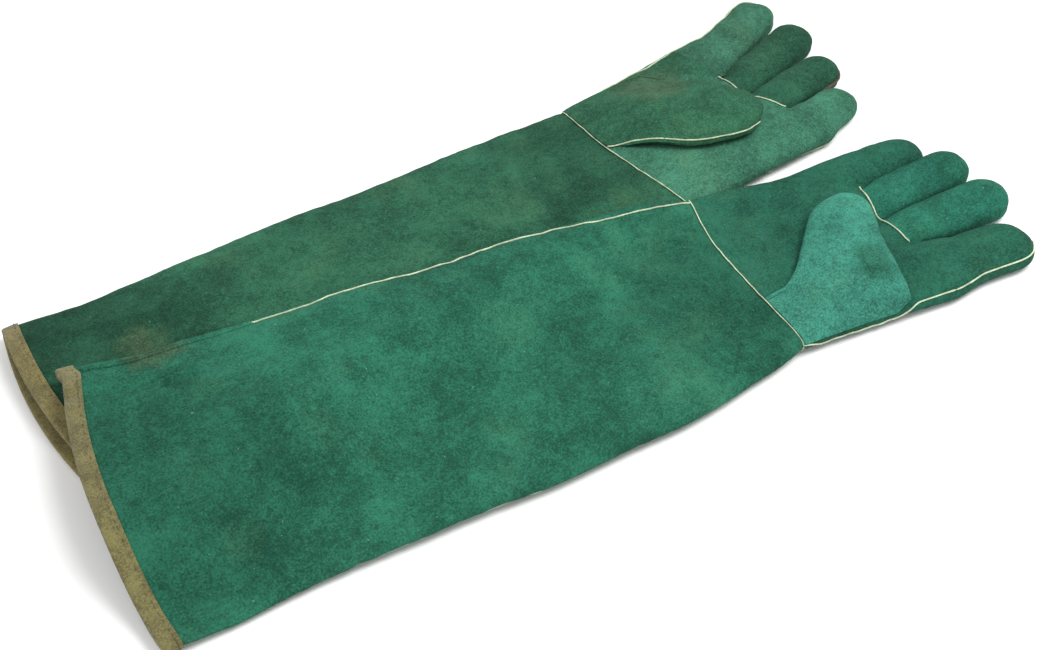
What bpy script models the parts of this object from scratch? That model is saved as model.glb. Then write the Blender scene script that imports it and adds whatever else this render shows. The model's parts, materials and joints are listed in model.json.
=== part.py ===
"""A pair of long split-leather gauntlet gloves, lying palm up with the thumbs folded over the palms.

Each glove is sewn from flat leather panels: a front and a back panel for the long cuff, a palm and a back
for the hand, a front and a back for every finger, and a wing thumb.  Cream welts are sewn into the outer
seams, and an olive tape binds the mouth.  The right glove lies partly on the left one, so it is draped over
the left one's edge.

World frame: +X from the cuff mouths to the fingertips, +Y from the right glove to the left one, +Z up, with
z = 0 the table that the pair lies on.  A glove's own frame has its origin at the middle of the wrist seam,
+X to the fingertips and +Y to the little finger.  The left glove is that frame mirrored in Y.
"""

import math

import bmesh
import bpy
import numpy as np
from mathutils import Matrix, Vector

# Driving dimensions, in metres
LEATHER = 0.0014
WELT_RADIUS = 0.0007
WELT_STANDOFF = 0.0005
SEAM_GAP = 0.0026
JOINT_GAP = 0.0020
CUFF_LENGTH = 0.400
MOUTH_HALF_WIDTH = 0.104
WRIST_HALF_WIDTH = 0.0675
CUFF_TAPER = 1.25
BINDING_WIDTH = 0.009
BINDING_TAPE = 0.0010
BINDING_GAP = 0.0005
BINDING_CLEARANCE = 0.0006
MOUTH_LIFT_LENGTH = 0.040

# Heights: the side seam's, and the top's above it, at the (mouth, middle, wrist) of the cuff
CUFF_STATIONS = (-CUFF_LENGTH, -0.5 * CUFF_LENGTH, 0.0)
CUFF_SEAM_Z = (0.0070, 0.0075, 0.0080)
CUFF_RISE = (0.0090, 0.0115, 0.0110)
HAND_SEAM_Z = CUFF_SEAM_Z[-1]
HAND_RISE = CUFF_RISE[-1]
FINGER_RISE = 0.0095
FLATTENED = 0.0010
SQUARENESS = 3.0
CUFF_ACROSS = 17
HAND_ACROSS = 25
FINGER_ACROSS = 9
THUMB_ACROSS = 11
FINGER_SQUARENESS = 2.3
CROTCH_RISE = 0.0026
SCALLOP_START = 0.65

# The thumb flap that lies on the palm
THUMB_GAP = 0.0010
THUMB_ROOT_THICKNESS = 0.0085
THUMB_THICKNESS = 0.0140
THUMB_TIP_HALF_WIDTH = 0.0200
THUMB_PASSAGE = 0.14
THUMB_HOLE_WIDTH = 0.0090

# The right glove's drape over the left one, measured in from the left glove's side seam
DRAPE_HEIGHT = 0.0215
DRAPE_OUTSIDE = 0.046
DRAPE_INSIDE = 0.022
DRAPE_HAND_FADE = 0.090

# Places of the two gloves: wrist centre in the world, and the angle of the glove's axis in degrees
PLACES = {
    "right": {"wrist": (0.0965, -0.0859), "angle": -5.65},
    "left": {"wrist": (0.1055, 0.0546), "angle": 5.65},
}

# Each finger: the two ends of its base line, its length, its half width and its direction in degrees
FINGERS = {
    "right": {
        "index": {"base": ((0.110, -0.0700), (0.112, -0.0215)), "length": 0.074, "half": 0.0180, "angle": -3.0},
        "middle": {"base": ((0.112, -0.0200), (0.114, 0.0070)), "length": 0.088, "half": 0.0160, "angle": -1.0},
        "ring": {"base": ((0.114, 0.0085), (0.116, 0.0385)), "length": 0.080, "half": 0.0150, "angle": 6.0},
        "little": {"base": ((0.116, 0.0400), (0.112, 0.0760)), "length": 0.062, "half": 0.0150, "angle": 5.0},
    },
    "left": {
        "index": {"base": ((0.105, -0.0740), (0.114, -0.0285)), "length": 0.100, "half": 0.0180, "angle": -19.0},
        "middle": {"base": ((0.114, -0.0270), (0.119, -0.0020)), "length": 0.098, "half": 0.0155, "angle": -13.5},
        "ring": {"base": ((0.119, -0.0005), (0.127, 0.0280)), "length": 0.076, "half": 0.0150, "angle": -5.0},
        "little": {"base": ((0.127, 0.0295), (0.128, 0.0690)), "length": 0.054, "half": 0.0150, "angle": -9.0},
    },
}
FINGER_ORDER = ("index", "middle", "ring", "little")
WELTED_KNUCKLES = ("middle", "ring")

# Each thumb: the two ends of its fold line, at the wrist and at the crotch, and its tip
THUMBS = {
    "right": {"wrist_end": (0.012, -0.041), "crotch": (0.069, -0.0655), "tip": (0.086, 0.022)},
    "left": {"wrist_end": (0.010, -0.014), "crotch": (0.067, -0.0650), "tip": (0.086, 0.042)},
}

# Finish of each material: linear colour and roughness
FINISHES = {
    "suede_cuff": ((0.014, 0.130, 0.095), 0.95),
    "suede_hand": ((0.018, 0.140, 0.095), 0.95),
    "suede_thumb": ((0.030, 0.175, 0.115), 0.95),
    "binding": ((0.180, 0.140, 0.065), 0.90),
    "welt": ((0.660, 0.690, 0.520), 0.70),
}

UP, DOWN = Vector((0.0, 0.0, 1.0)), Vector((0.0, 0.0, -1.0))


# ---------------------------------------------------------------- curves and profiles


def smoothstep(t):
    t = min(max(t, 0.0), 1.0)
    return t * t * (3.0 - 2.0 * t)


def through(x, stations, values):
    """A smooth value at x through the given stations."""
    pairs = list(zip(stations, values))
    for (x0, a), (x1, b) in zip(pairs, pairs[1:]):
        if x <= x1:
            return a + (b - a) * smoothstep((x - x0) / (x1 - x0))
    return values[-1]


def spread(count):
    """Places across a panel, from 1 at the little finger side to -1, closer together near the seams."""
    return [math.cos(math.pi * j / (count - 1)) for j in range(count)]


def arch(across, squareness=SQUARENESS):
    """Height share of a squared oval: 1 at its middle and 0 at its seams."""
    return max(1.0 - min(abs(across), 1.0) ** squareness, 0.0) ** (1.0 / squareness)


def tip_share(along, start):
    """1 along a finger's body, then a quarter round down to 0 at its tip."""
    t = min(max((along - start) / (1.0 - start), 0.0), 1.0)
    return math.sqrt(max(1.0 - t * t, 0.0))


def tip_stations(start, first=0.0, body=4, tip=4):
    """Shares of a finger's length: evenly along the body, then evenly round the tip."""
    shares = list(np.linspace(first, start, body))
    return shares + [start + (1.0 - start) * math.sin(0.5 * math.pi * k / tip) for k in range(1, tip + 1)]


def heading(degrees):
    angle = math.radians(degrees)
    return np.array([math.cos(angle), math.sin(angle)])


def unit(vector):
    return vector / np.linalg.norm(vector)


# ---------------------------------------------------------------- placing a glove in the world


def to_plan(side, point):
    """World x, y of a plan point in a glove's own frame."""
    x, y = point[0], point[1] if side == "right" else -point[1]
    c, s = heading(PLACES[side]["angle"])
    return np.array(PLACES[side]["wrist"]) + np.array([c * x - s * y, s * x + c * y])


def turn(side, direction):
    """World direction of a plan direction in a glove's own frame."""
    x, y = direction[0], direction[1] if side == "right" else -direction[1]
    c, s = heading(PLACES[side]["angle"])
    return Vector((c * x - s * y, s * x + c * y, 0.0))


def drape(plan):
    """How far the right glove is lifted, at a world plan point, by the left glove under it."""
    c, s = heading(PLACES["left"]["angle"])
    dx, dy = plan - np.array(PLACES["left"]["wrist"])
    x, y = c * dx + s * dy, c * dy - s * dx
    inside = y + cuff_half_width(x)
    share = smoothstep((inside + DRAPE_OUTSIDE) / (DRAPE_OUTSIDE + DRAPE_INSIDE))
    return DRAPE_HEIGHT * share * (1.0 - smoothstep(x / DRAPE_HAND_FADE))


def to_world(side, x, y, z):
    """World point of a point in a glove's own frame: clear of its binding, and draped on the other glove."""
    plan = to_plan(side, (x, y))
    mouth = 1.0 - smoothstep((x + CUFF_LENGTH) / MOUTH_LIFT_LENGTH)
    lift = mouth * (BINDING_TAPE + BINDING_GAP + BINDING_CLEARANCE)
    if side == "right":
        lift += drape(plan)
    return Vector((plan[0], plan[1], z + lift))


# ---------------------------------------------------------------- the glove's outer shape, in its own frame


def cuff_half_width(x):
    share = min(max(-x / CUFF_LENGTH, 0.0), 1.0)
    return WRIST_HALF_WIDTH + (MOUTH_HALF_WIDTH - WRIST_HALF_WIDTH) * (1.0 - (1.0 - share) ** CUFF_TAPER)


def surface_height(seam, rise, share, back):
    """Height of the front or the back surface.  The back is pressed flat on the table."""
    half_gap = 0.5 * SEAM_GAP
    if back:
        return max(seam - half_gap - (seam + FLATTENED - half_gap) * share, 0.0)
    return seam + half_gap + (rise - half_gap) * share


def cuff_point(x, across, back):
    """Outer surface of the cuff in its own frame."""
    seam, rise = through(x, CUFF_STATIONS, CUFF_SEAM_Z), through(x, CUFF_STATIONS, CUFF_RISE)
    return np.array([x, cuff_half_width(x) * across, surface_height(seam, rise, arch(across), back)])


def knuckle_points(side):
    """The palm's far edge: the ends of the four base lines, from the index side to the little finger side."""
    ends = [FINGERS[side][name]["base"] for name in FINGER_ORDER]
    crotches = [0.5 * (np.array(a[1]) + np.array(b[0])) for a, b in zip(ends, ends[1:])]
    return np.array([ends[0][0], *crotches, ends[-1][1]])


def knuckle_at(side, across):
    """Point of the palm's far edge at a share of its width, -1 at the index side and 1 at the little one."""
    points = knuckle_points(side)
    y = points[0, 1] + (points[-1, 1] - points[0, 1]) * 0.5 * (across + 1.0)
    return np.array([np.interp(y, points[:, 1], points[:, 0]), y])


def scallop(side, across):
    """Height share at the palm's far edge: an arch over each finger, with a valley between two."""
    points = knuckle_points(side)
    y = knuckle_at(side, across)[1]
    k = min(max(int(np.searchsorted(points[:, 1], y)), 1), len(points) - 1)
    low, high = points[k - 1, 1], points[k, 1]
    over_finger = arch((2.0 * y - low - high) / (high - low), FINGER_SQUARENESS) * FINGER_RISE / HAND_RISE
    inner = 1.0 - abs(across) ** 8
    return max(over_finger, inner * CROTCH_RISE / HAND_RISE)


def palm_height(side, point):
    """Height of the palm's outer surface at a plan point, before its far edge is shaped to the fingers."""
    low, high = knuckle_at(side, -1.0), knuckle_at(side, 1.0)
    bottom = np.interp(point[0], (0.0, low[0]), (-WRIST_HALF_WIDTH, low[1]))
    top = np.interp(point[0], (0.0, high[0]), (WRIST_HALF_WIDTH, high[1]))
    across = (2.0 * point[1] - bottom - top) / (top - bottom)
    return surface_height(HAND_SEAM_Z, HAND_RISE, arch(across), False)


def hand_point(side, along, across, back):
    """Outer surface of the hand in its own frame, along from 0 at the wrist seam to 1 at the knuckles."""
    wrist = np.array([JOINT_GAP, WRIST_HALF_WIDTH * across])
    plan = wrist + (knuckle_at(side, across) - wrist) * along
    shaped = smoothstep((along - SCALLOP_START) / (1.0 - SCALLOP_START))
    share = arch(across) + (scallop(side, across) - arch(across)) * shaped
    return np.array([*plan, surface_height(HAND_SEAM_Z, HAND_RISE, share, back)])


def finger_frame(side, name):
    """(middle of the base line, half its length, its unit vector, direction of the finger)."""
    finger = FINGERS[side][name]
    a, b = (np.array(p) for p in finger["base"])
    return 0.5 * (a + b), 0.5 * float(np.linalg.norm(b - a)), unit(b - a), heading(finger["angle"])


def finger_point(side, name, along, across, back):
    """Outer surface of a finger in the glove's frame, along from its base to its tip."""
    finger = FINGERS[side][name]
    middle, base_half, base_line, direction = finger_frame(side, name)
    settled = smoothstep(along / 0.4)
    rounded = tip_share(along, 1.0 - finger["half"] / finger["length"])
    half = (base_half + (finger["half"] - base_half) * settled) * rounded
    side_way = unit(base_line + (np.array([-direction[1], direction[0]]) - base_line) * settled)
    start = middle + direction * JOINT_GAP
    plan = start + direction * (finger["length"] - JOINT_GAP) * along + side_way * half * across
    share = arch(across, FINGER_SQUARENESS) * rounded
    return np.array([*plan, surface_height(HAND_SEAM_Z, FINGER_RISE, share, back)])


def thumb_frame(side):
    """(middle of the fold line, half its length, its unit vector to the crotch, way over the palm)."""
    a, b = np.array(THUMBS[side]["wrist_end"]), np.array(THUMBS[side]["crotch"])
    fold = unit(b - a)
    return 0.5 * (a + b), 0.5 * float(np.linalg.norm(b - a)), fold, np.array([-fold[1], fold[0]])


def thumb_point(side, along, across, back):
    """Outer surface of the thumb flap.  Its back is the side that faces the palm when it is folded."""
    middle, root_half, fold, _ = thumb_frame(side)
    reach = np.array(THUMBS[side]["tip"]) - middle
    direction = unit(reach)
    square = np.array([direction[1], -direction[0]])
    side_way = unit(fold + (square - fold) * smoothstep(along / 0.6))
    rounded = tip_share(along, thumb_body(side))
    half = (root_half + (THUMB_TIP_HALF_WIDTH - root_half) * smoothstep(along / 0.55)) * rounded
    plan = middle + reach * along + side_way * half * across
    seam = palm_height(side, plan) + THUMB_GAP + 0.5 * THUMB_ROOT_THICKNESS
    thickness = THUMB_ROOT_THICKNESS + (THUMB_THICKNESS - THUMB_ROOT_THICKNESS) * smoothstep(along / 0.45)
    low = 0.5 * THUMB_ROOT_THICKNESS
    reach_up = (low if back else thickness - low) - 0.5 * SEAM_GAP
    rise = 0.5 * SEAM_GAP + reach_up * arch(across) * rounded
    return np.array([*plan, seam + (-rise if back else rise)])


def thumb_body(side):
    """Share of the thumb's length where its round tip starts."""
    reach = np.array(THUMBS[side]["tip"]) - thumb_frame(side)[0]
    return 1.0 - THUMB_TIP_HALF_WIDTH / float(np.linalg.norm(reach))


# ---------------------------------------------------------------- joints


def hinge(side, ends, lifted):
    """A hinge that lifts what lies along a plan direction: its world point, above both ends, and its axis."""
    points = [to_world(side, *point) for point in ends]
    top = max(point.z for point in points) + 3.0 * WELT_RADIUS
    middle = sum(points, Vector()) / len(points)
    return Vector((middle.x, middle.y, top)), turn(side, lifted).cross(UP).normalized()


def wrist_hinge(side):
    ends = [cuff_point(0.0, across, False) + np.array([0.5 * JOINT_GAP, 0.0, 0.0]) for across in spread(31)]
    return hinge(side, ends, (1.0, 0.0))


def finger_hinge(side, name):
    middle, _, _, direction = finger_frame(side, name)
    ends = [np.array([*(middle + direction * 0.5 * JOINT_GAP), HAND_SEAM_Z + HAND_RISE])]
    return hinge(side, ends, direction)


def thumb_hinge(side):
    _, _, _, over_palm = thumb_frame(side)
    ends = [thumb_point(side, 0.0, across, False) for across in spread(11)]
    return hinge(side, ends, over_palm)


# ---------------------------------------------------------------- building in Blender


def clear_scene():
    for obj in list(bpy.data.objects):
        bpy.data.objects.remove(obj)


def new_collection(name):
    made = bpy.data.collections.new(name)
    bpy.context.scene.collection.children.link(made)
    return made


def material(name):
    if name in bpy.data.materials:
        return bpy.data.materials[name]
    colour, roughness = FINISHES[name]
    made = bpy.data.materials.new(name)
    made.use_nodes = True
    shader = made.node_tree.nodes["Principled BSDF"]
    shader.inputs["Base Color"].default_value = (*colour, 1.0)
    shader.inputs["Roughness"].default_value = roughness
    shader.inputs["Metallic"].default_value = 0.0
    return made


class Body:
    """One rigid body of the pair: an empty on its joint, and the pieces parented to it."""

    def __init__(self, collection, name, pivot, parent=None):
        self.collection = collection
        self.pivot = Vector(pivot)
        self.empty = bpy.data.objects.new(name + "_pivot", None)
        self.empty.parent = parent.empty if parent else None
        self.empty.location = self.pivot - (parent.pivot if parent else Vector())
        collection.objects.link(self.empty)

    def add(self, name, data, slot):
        """Takes mesh or curve data made in world coordinates."""
        data.transform(Matrix.Translation(-self.pivot))
        data.materials.append(material(slot))
        obj = bpy.data.objects.new(name, data)
        self.collection.objects.link(obj)
        obj.parent = self.empty
        return obj


def loft(name, rows, ring=False):
    """A mesh through rows of points.  A last row of one point is a pole; ring joins all the ends up."""
    points, numbers = [], []
    for row in rows:
        numbers.append(range(len(points), len(points) + len(row)))
        points += [tuple(p) for p in row]
    if ring:
        numbers.append(numbers[0])
    faces = []
    for a, b in zip(numbers, numbers[1:]):
        last = len(a) if ring else len(a) - 1
        for j in range(last):
            k = (j + 1) % len(a)
            faces.append((a[j], a[k], b[0]) if len(b) == 1 else (a[j], a[k], b[k], b[j]))
    mesh = bpy.data.meshes.new(name)
    mesh.from_pydata(points, [], faces)
    return mesh


def leather_panel(body, name, rows, back, slot):
    """A leather panel: an open surface through rows, with its thickness inside the glove."""
    mesh = loft(name, rows)
    outward = DOWN if back else UP
    if sum(face.normal.dot(outward) for face in mesh.polygons) < 0:
        mesh.flip_normals()
    obj = body.add(name, mesh, slot)
    solidify = obj.modifiers.new("leather", "SOLIDIFY")
    solidify.thickness = LEATHER
    solidify.offset = -1.0
    mesh.shade_smooth()
    return obj


def welt(body, name, points, cyclic=False):
    """A thin round welt along points in world coordinates."""
    curve = bpy.data.curves.new(name, "CURVE")
    curve.dimensions = "3D"
    curve.bevel_depth = WELT_RADIUS
    curve.bevel_resolution = 1
    curve.use_fill_caps = True
    spline = curve.splines.new("POLY")
    spline.points.add(len(points) - 1)
    for node, point in zip(spline.points, points):
        node.co = (*point, 1.0)
    spline.use_cyclic_u = cyclic
    return body.add(name, curve, "welt")


def panel_rows(side, point_at, stations, back, across, pole=False):
    """World points of a panel through point_at(along, across, back).  A pole closes the last station."""
    rows = []
    for along in stations:
        places = [0.0] if pole and along == stations[-1] else spread(across)
        rows.append([to_world(side, *point_at(along, place, back)) for place in places])
    return rows


# ---------------------------------------------------------------- the cuff


def mouth_ring(x):
    """Points and outward normals, in the glove's y and z, round the cuff's section at x."""
    places = spread(CUFF_ACROSS)
    ring = [cuff_point(x, across, False)[1:] for across in places]
    ring += [cuff_point(x, across, True)[1:] for across in reversed(places)]
    ring = np.array(ring)
    tangents = np.roll(ring, -1, axis=0) - np.roll(ring, 1, axis=0)
    normals = np.stack([tangents[:, 1], -tangents[:, 0]], axis=1)
    return ring, normals / np.linalg.norm(normals, axis=1, keepdims=True)


def binding_rows(side):
    """The tape's folded section, at every point round the mouth."""
    near, far = BINDING_GAP, BINDING_GAP + BINDING_TAPE
    section = [
        (-near, near),
        (-near, -LEATHER - near),
        (BINDING_WIDTH, -LEATHER - near),
        (BINDING_WIDTH, -LEATHER - far),
        (-far, -LEATHER - far),
        (-far, far),
        (BINDING_WIDTH, far),
        (BINDING_WIDTH, near),
    ]
    rings = {along: mouth_ring(-CUFF_LENGTH + max(along, 0.0)) for along, _ in section}
    rows = []
    for j in range(len(rings[BINDING_WIDTH][0])):
        row = []
        for along, out in section:
            points, normals = rings[along]
            y, z = points[j] + normals[j] * out
            row.append(to_world(side, -CUFF_LENGTH + along, y, z))
        rows.append(row)
    return rows


def build_binding(body, side):
    name = f"{side}_cuff_binding"
    mesh = loft(name, binding_rows(side), ring=True)
    if side == "right":
        mesh.flip_normals()
    return body.add(name, mesh, "binding")


def cuff_welt_points(side, sign, count=14):
    points = []
    for x in np.linspace(-CUFF_LENGTH + BINDING_WIDTH + 0.001, -0.001, count):
        half = cuff_half_width(x) + WELT_STANDOFF
        points.append(to_world(side, x, sign * half, through(x, CUFF_STATIONS, CUFF_SEAM_Z)))
    return points


def build_cuff(body, side):
    stations = [-CUFF_LENGTH, *np.linspace(-CUFF_LENGTH + BINDING_WIDTH, 0.0, 11)]
    for back, panel in enumerate(("front", "back")):
        rows = panel_rows(side, cuff_point, stations, bool(back), across=CUFF_ACROSS)
        leather_panel(body, f"{side}_cuff_{panel}_panel", rows, bool(back), "suede_cuff")
    build_binding(body, side)
    welt(body, f"{side}_cuff_thumb_side_welt", cuff_welt_points(side, -1))
    welt(body, f"{side}_cuff_little_side_welt", cuff_welt_points(side, 1))


# ---------------------------------------------------------------- the hand


def outward(point, side_way):
    """A seam point moved out by the welt's standoff, and down or up to the middle of the seam."""
    return np.array([point[0] + side_way[0] * WELT_STANDOFF, point[1] + side_way[1] * WELT_STANDOFF, HAND_SEAM_Z])


def wrist_welt_points(side, count=25):
    """Round the glove in the gap between the cuff and the hand."""
    front = [cuff_point(0.0, across, False) for across in spread(count)]
    back = [cuff_point(0.0, across, True) for across in reversed(spread(count)[1:-1])]
    raised = [point + np.array([0.5 * JOINT_GAP, 0.0, 0.0]) for point in front]
    lowered = [point + np.array([0.5 * JOINT_GAP, 0.0, WELT_RADIUS]) for point in back]
    return [to_world(side, *point) for point in raised + lowered]


def hand_welt_points(side, sign, count=8):
    stations = np.linspace(0.02, 0.99, count)
    points = [hand_point(side, along, sign, False) for along in stations]
    return [to_world(side, *outward(point, (0.0, sign))) for point in points]


def knuckle_welt_points(side):
    """Across the bases of the middle and ring fingers, in the gap between them and the palm."""
    points = []
    for name in WELTED_KNUCKLES:
        direction = finger_frame(side, name)[3]
        for across in spread(7)[::-1][1:-1]:
            plan = finger_point(side, name, 0.0, across, False)
            points.append(plan - np.array([*(direction * 0.5 * JOINT_GAP), -WELT_RADIUS]))
    return [to_world(side, *point) for point in points]


def cut_thumb_hole(palm, side, cutters):
    """The slot in the palm, just over the fold line, that the thumb goes through."""
    middle, half, fold, over_palm = thumb_frame(side)
    centre = middle + over_palm * 0.75 * THUMB_HOLE_WIDTH
    mesh = bpy.data.meshes.new(palm.name + "_cutter")
    cube = bmesh.new()
    bmesh.ops.create_cube(cube, size=1.0)
    size = (1.5 * half, THUMB_HOLE_WIDTH, 2.0 * HAND_RISE)
    bmesh.ops.scale(cube, vec=size, verts=cube.verts)
    cube.to_mesh(mesh)
    cube.free()
    cutter = bpy.data.objects.new(palm.name + "_thumb_hole", mesh)
    cutter.location = to_world(side, *centre, HAND_SEAM_Z + HAND_RISE)
    cutter.rotation_euler.z = math.atan2(*turn(side, fold).yx)
    cutter.hide_render = True
    cutter.display_type = "WIRE"
    cutters.objects.link(cutter)
    cut = palm.modifiers.new("thumb_hole", "BOOLEAN")
    cut.operation = "DIFFERENCE"
    cut.object = cutter


def build_hand(body, side, cutters):
    def point_at(along, across, back):
        return hand_point(side, along, across, back)

    stations = np.linspace(0.0, 1.0, 9)
    palm_rows, back_rows = (panel_rows(side, point_at, stations, back, HAND_ACROSS) for back in (False, True))
    palm = leather_panel(body, f"{side}_palm_panel", palm_rows, False, "suede_hand")
    leather_panel(body, f"{side}_hand_back_panel", back_rows, True, "suede_hand")
    cut_thumb_hole(palm, side, cutters)
    welt(body, f"{side}_wrist_welt", wrist_welt_points(side), cyclic=True)
    welt(body, f"{side}_knuckle_welt", knuckle_welt_points(side))
    welt(body, f"{side}_hand_thumb_side_welt", hand_welt_points(side, -1))
    welt(body, f"{side}_hand_little_side_welt", hand_welt_points(side, 1))


# ---------------------------------------------------------------- fingers and thumb


def finger_stations(side, name):
    finger = FINGERS[side][name]
    return tip_stations(1.0 - finger["half"] / finger["length"])


def build_finger(body, side, name):
    def point_at(along, across, back):
        return finger_point(side, name, along, across, back)

    stations = finger_stations(side, name)
    for back, panel in enumerate(("front", "back")):
        rows = panel_rows(side, point_at, stations, bool(back), across=FINGER_ACROSS, pole=True)
        leather_panel(body, f"{side}_{name}_finger_{panel}", rows, bool(back), "suede_hand")


def index_welt_points(side):
    """Along the outer seam of the index finger, from its base to its tip."""
    direction = finger_frame(side, "index")[3]
    points = []
    for along in finger_stations(side, "index"):
        share = tip_share(along, 1.0 - FINGERS[side]["index"]["half"] / FINGERS[side]["index"]["length"])
        side_way = np.array([direction[1], -direction[0]]) * share + direction * (1.0 - share)
        points.append(outward(finger_point(side, "index", along, -1.0, False), unit(side_way)))
    return [to_world(side, *point) for point in points]


def thumb_welt_points(side):
    """Round the thumb's outline, from the wrist end of its fold line to the crotch end."""
    stations = tip_stations(thumb_body(side), first=THUMB_PASSAGE)
    places = [(along, -1.0) for along in stations] + [(along, 1.0) for along in reversed(stations[:-1])]
    outline = np.array([thumb_point(side, along, across, False) for along, across in places])
    outline[:, 2] -= 0.5 * SEAM_GAP
    centre = outline.mean(axis=0)
    points = []
    for point in outline:
        side_way = unit(point[:2] - centre[:2])
        points.append(point + np.array([*(side_way * WELT_STANDOFF), 0.0]))
    return [to_world(side, *point) for point in points]


def build_thumb(body, side):
    def point_at(along, across, back):
        return thumb_point(side, along, across, back)

    for back, panel in enumerate(("back", "front")):
        stations = tip_stations(thumb_body(side), first=THUMB_PASSAGE if back else 0.0, body=5)
        rows = panel_rows(side, point_at, stations, bool(back), across=THUMB_ACROSS, pole=True)
        leather_panel(body, f"{side}_thumb_{panel}_panel", rows, bool(back), "suede_thumb")
    welt(body, f"{side}_thumb_welt", thumb_welt_points(side))


# ---------------------------------------------------------------- the pair


def build_glove(side, gloves, cutters, rests_on=None):
    """Builds one glove, and returns the body of its cuff."""
    cuff = Body(gloves, f"{side}_cuff", to_world(side, -0.5 * CUFF_LENGTH, 0.0, 0.0), rests_on)
    build_cuff(cuff, side)
    hand = Body(gloves, f"{side}_hand", wrist_hinge(side)[0], cuff)
    build_hand(hand, side, cutters)
    thumb = Body(gloves, f"{side}_thumb", thumb_hinge(side)[0], hand)
    build_thumb(thumb, side)
    for name in FINGER_ORDER:
        finger = Body(gloves, f"{side}_{name}_finger", finger_hinge(side, name)[0], hand)
        build_finger(finger, side, name)
        if name == "index":
            welt(finger, f"{side}_index_finger_welt", index_welt_points(side))
    return cuff


def main():
    clear_scene()
    gloves = new_collection("gauntlet_gloves")
    cutters = new_collection("cutters")
    left_cuff = build_glove("left", gloves, cutters)
    build_glove("right", gloves, cutters, rests_on=left_cuff)


main()
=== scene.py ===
"""Looks of a pair of long suede gauntlet gloves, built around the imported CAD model.

Every leather panel is a shell of its real thickness, in the place of its CAD panel.  A glove's own frame is
read from the CAD joints: its origin is the middle of the wrist seam, +X runs to the fingertips and +Y to the
little finger.  A panel is worked out in that frame and placed in the world, where the right glove is draped
over the left one's edge.
"""

import json
import math

import bmesh
import bpy
import numpy as np
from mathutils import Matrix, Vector, noise


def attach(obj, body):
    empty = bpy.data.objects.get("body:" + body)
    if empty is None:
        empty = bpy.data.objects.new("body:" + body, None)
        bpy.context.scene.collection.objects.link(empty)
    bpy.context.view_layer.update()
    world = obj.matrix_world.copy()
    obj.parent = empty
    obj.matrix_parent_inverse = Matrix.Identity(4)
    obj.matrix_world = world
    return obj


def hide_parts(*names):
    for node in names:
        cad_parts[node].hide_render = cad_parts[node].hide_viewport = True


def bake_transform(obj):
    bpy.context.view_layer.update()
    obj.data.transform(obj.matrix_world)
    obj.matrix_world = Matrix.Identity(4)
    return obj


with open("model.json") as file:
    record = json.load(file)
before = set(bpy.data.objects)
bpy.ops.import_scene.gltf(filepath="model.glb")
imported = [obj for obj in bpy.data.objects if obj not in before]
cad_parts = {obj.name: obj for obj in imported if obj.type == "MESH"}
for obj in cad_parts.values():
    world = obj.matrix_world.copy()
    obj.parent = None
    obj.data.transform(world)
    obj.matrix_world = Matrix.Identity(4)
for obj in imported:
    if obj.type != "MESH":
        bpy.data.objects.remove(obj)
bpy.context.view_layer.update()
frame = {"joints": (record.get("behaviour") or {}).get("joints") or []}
JOINTS = {joint["name"]: joint for joint in frame["joints"]}
UP = np.array([0.0, 0.0, 1.0])

# The CAD's shape in metres, in a glove's own frame
JOINT_GAP = 0.002
CUFF_LENGTH = 0.4
MOUTH_HALF_WIDTH = 0.104
WRIST_HALF_WIDTH = 0.0675
CUFF_TAPER = 1.25
SEAM_Z = 0.008
LEATHER = 0.0013

# The right glove on the left one: its lift, the reach of its slope to both sides of the left cuff's edge, and
# the length of hand over which it sinks to the table
DRAPE_HEIGHT = 0.0215
DRAPE_OUTSIDE = 0.046
DRAPE_INSIDE = 0.022
DRAPE_HAND_FADE = 0.09

# How far the cuffs' mouths stand off the table, and over what length
MOUTH_LIFT = 0.0021
MOUTH_LIFT_LENGTH = 0.04

# Sections: how high the top is above the seam, how squared it is, and how low the bottom is
CUFF_RISE = 0.0112
HAND_RISE = 0.0115
FINGER_RISE = 0.0108
TOP_SQUARENESS = 2.5
FINGER_SQUARENESS = 2.15
BOTTOM_SQUARENESS = 3.4
FLOOR_Z = 0.0004

# The knuckles: the share of height left in a crotch, how much lower the middle two fingers begin, and the
# share of the palm's length at which the arches over its fingers begin
CROTCH_SHARE = 0.45
KNUCKLE_DIP = 0.36
SCALLOP_START = 0.72

# How far the wrist seam bows towards the mouth, and the length of cuff that follows it
WRIST_BOW = {"right": 0.006, "left": 0.01}
WRIST_BOW_LENGTH = 0.09

# Tape, welts and thread
BINDING_WIDTH = 0.0088
TAPE = 0.0009
TAPE_GAP = 0.0003
WELT_RADIUS = 0.00052
WRIST_WELT_RADIUS = 0.0004
LINING_RADIUS = 0.0011
WELT_STEP = 0.0011
STITCH_PITCH = 0.0034
STITCH_LENGTH = 0.0021
STITCH_RADIUS = 0.00036

# Mesh density
CUFF_ROWS = 180
CUFF_STEP = CUFF_LENGTH / (CUFF_ROWS - 1)
CUFF_COLUMNS = 100
HAND_ROWS = 60
HAND_COLUMNS = 76
FINGER_ROWS = 44
FINGER_COLUMNS = 25
TIP_ROWS = 16
THUMB_ROWS = 56
THUMB_COLUMNS = 37
THUMB_EDGE_POINTS = 200
THUMB_BASE_POINTS = 400
DENSE = 240

FINGER_ORDER = ("index", "middle", "ring", "little")

# How far each outer seam is rolled up onto its glove's front, right and left, or under it if below zero.  The
# hand's thumb side goes from its roll at the wrist to the index finger's, with another one under the thumb.
SIDES = ("right", "left")
SEAM_ROLL = {
    "cuff_little": (0.0075, -0.004),
    "cuff_dip": (0.0045, 0.0),
    "cuff_thumb": (-0.005, -0.002),
    "wrist": (0.0005, 0.0025),
    "under_thumb": (-0.003, 0.0045),
    "index": (0.004, 0.0085),
    "little": (-0.006, -0.006),
}

# Where the cuff_dip part of the roll has its middle, and its reach to both sides
CUFF_DIP_PLACE = -0.055
CUFF_DIP_REACH = 0.05

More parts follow.
